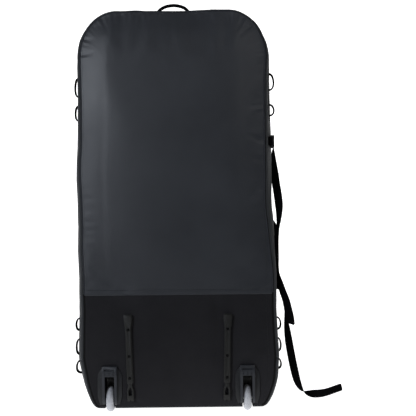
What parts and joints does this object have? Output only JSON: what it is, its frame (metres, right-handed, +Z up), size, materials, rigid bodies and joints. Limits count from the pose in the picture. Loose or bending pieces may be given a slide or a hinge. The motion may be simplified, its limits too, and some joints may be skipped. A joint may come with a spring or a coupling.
{
  "type": "wheeled board bag",
  "caption": "Tall padded travel bag for boards, with in-line wheels, skid rails, a zipped front lid, webbing handles, lash loops and compression straps.",
  "frame": {"origin": "on the floor, under the middle of the bag's overall box, loose strap tails left out", "axes": "+Z up along the bag's length, -Y out of the rear face with the wheels and rails, +X to the right seen from behind"},
  "size_m": [0.8327, 0.3045, 1.2344],
  "materials": {
    "coated_fabric": "smooth coated polyester with a soft sheen",
    "heavy_fabric": "heavy matte woven polyester",
    "side_fabric": "matte woven polyester, olive black",
    "webbing": "ribbed polypropylene webbing",
    "piping": "matte bound edge",
    "zip_coil": "nylon coil and tape",
    "stiffener": "smooth sheet",
    "housing_plastic": "fine moulded grain",
    "rail_plastic": "fine moulded grain",
    "buckle_plastic": "satin moulded",
    "urethane": "cast, slightly translucent",
    "hub_plastic": "satin moulded",
    "steel": "plated",
    "foot_rubber": "matte"
  },
  "bodies": {
    "bag": {"rear_panel_upper": "coated_fabric", "rear_panel_lower": "heavy_fabric", "base_panel": "heavy_fabric", "front_border": "heavy_fabric", "side_panel_left": "side_fabric", "side_panel_right": "side_fabric", "top_panel": "side_fabric", "loops_left_upper": "webbing", "loops_left_lower": "webbing", "loops_right_upper": "webbing", "loops_right_lower": "webbing", "side_anchor_left": "webbing", "upper_strap_rear": "webbing", "upper_strap_front": "webbing", "lower_strap_rear": "webbing", "lower_strap_front": "webbing", "piping_front": "piping", "piping_rear": "piping", "zip_chain": "zip_coil", "rear_board": "stiffener", "base_board": "stiffener", "wheel_housing_left": "housing_plastic", "wheel_housing_right": "housing_plastic", "skid_rail_left": "rail_plastic", "skid_rail_right": "rail_plastic", "skid_foot_left": "rail_plastic", "skid_foot_right": "rail_plastic", "upper_buckle_socket": "buckle_plastic", "lower_buckle_socket": "buckle_plastic", "axle_left": "steel", "axle_right": "steel", "axle_nut_left": "steel", "axle_nut_right": "steel", "rail_screw_left_1": "steel", "rail_screw_left_2": "steel", "rail_screw_left_3": "steel", "rail_screw_right_1": "steel", "rail_screw_right_2": "steel", "rail_screw_right_3": "steel", "front_foot_left": "foot_rubber", "front_foot_right": "foot_rubber"},
    "lid": {"front_lid": "coated_fabric"},
    "wheel_left": {"tyre_left": "urethane", "hub_left": "hub_plastic", "bearing_left_outer": "steel", "bearing_left_inner": "steel"},
    "wheel_right": {"tyre_right": "urethane", "hub_right": "hub_plastic", "bearing_right_outer": "steel", "bearing_right_inner": "steel"},
    "carry_handle": {"top_handle": "webbing"},
    "grab_handle": {"side_handle": "webbing"},
    "slider_low": {"zip_slider_low": "steel"},
    "slider_high": {"zip_slider_high": "steel"},
    "pull_low": {"zip_pull_low": "zip_coil"},
    "pull_high": {"zip_pull_high": "zip_coil"},
    "upper_tongue": {"upper_buckle_tongue": "buckle_plastic", "strap_tail_upper": "webbing"},
    "lower_tongue": {"lower_buckle_tongue": "buckle_plastic", "strap_tail_lower": "webbing"}
  },
  "joints": [
    {"name": "lid_opening", "type": "hinge", "parent": "bag", "child": "lid", "pos_m": [0, 0.1422, 0.062], "axis": [-1, 0, 0], "range_deg": [0, 90]},
    {"name": "wheel_left_spin", "type": "hinge", "parent": "bag", "child": "wheel_left", "pos_m": [-0.203, -0.114, 0.038], "axis": [1, 0, 0], "continuous": true},
    {"name": "wheel_right_spin", "type": "hinge", "parent": "bag", "child": "wheel_right", "pos_m": [0.203, -0.114, 0.038], "axis": [1, 0, 0], "continuous": true},
    {"name": "top_handle_swing", "type": "hinge", "parent": "bag", "child": "carry_handle", "pos_m": [0, 0.003, 1.1914], "axis": [1, 0, 0], "range_deg": [-80, 80]},
    {"name": "side_handle_swing", "type": "hinge", "parent": "bag", "child": "grab_handle", "pos_m": [0.29701, -0.05, 0.482], "axis": [0, 0, 1], "range_deg": [-35, 35]},
    {"name": "zip_slider_low_travel", "type": "slide", "parent": "bag", "child": "slider_low", "axis": [0, 0, -1], "range_m": [0, 0.49]},
    {"name": "zip_slider_high_travel", "type": "slide", "parent": "bag", "child": "slider_high", "axis": [0, 0, 1], "range_m": [0, 0.33]},
    {"name": "zip_pull_low_swing", "type": "hinge", "parent": "slider_low", "child": "pull_low", "pos_m": [-0.2279, 0.1496, 0.622], "axis": [1, 0, 0], "range_deg": [0, 115]},
    {"name": "zip_pull_high_swing", "type": "hinge", "parent": "slider_high", "child": "pull_high", "pos_m": [-0.2279, 0.1496, 0.668], "axis": [1, 0, 0], "range_deg": [0, 115]},
    {"name": "upper_buckle_release", "type": "slide", "parent": "bag", "child": "upper_tongue", "axis": [0, 1, 0], "range_m": [0, 0.018]},
    {"name": "lower_buckle_release", "type": "slide", "parent": "bag", "child": "lower_tongue", "axis": [0, 1, 0], "range_m": [0, 0.018]}
  ]
}
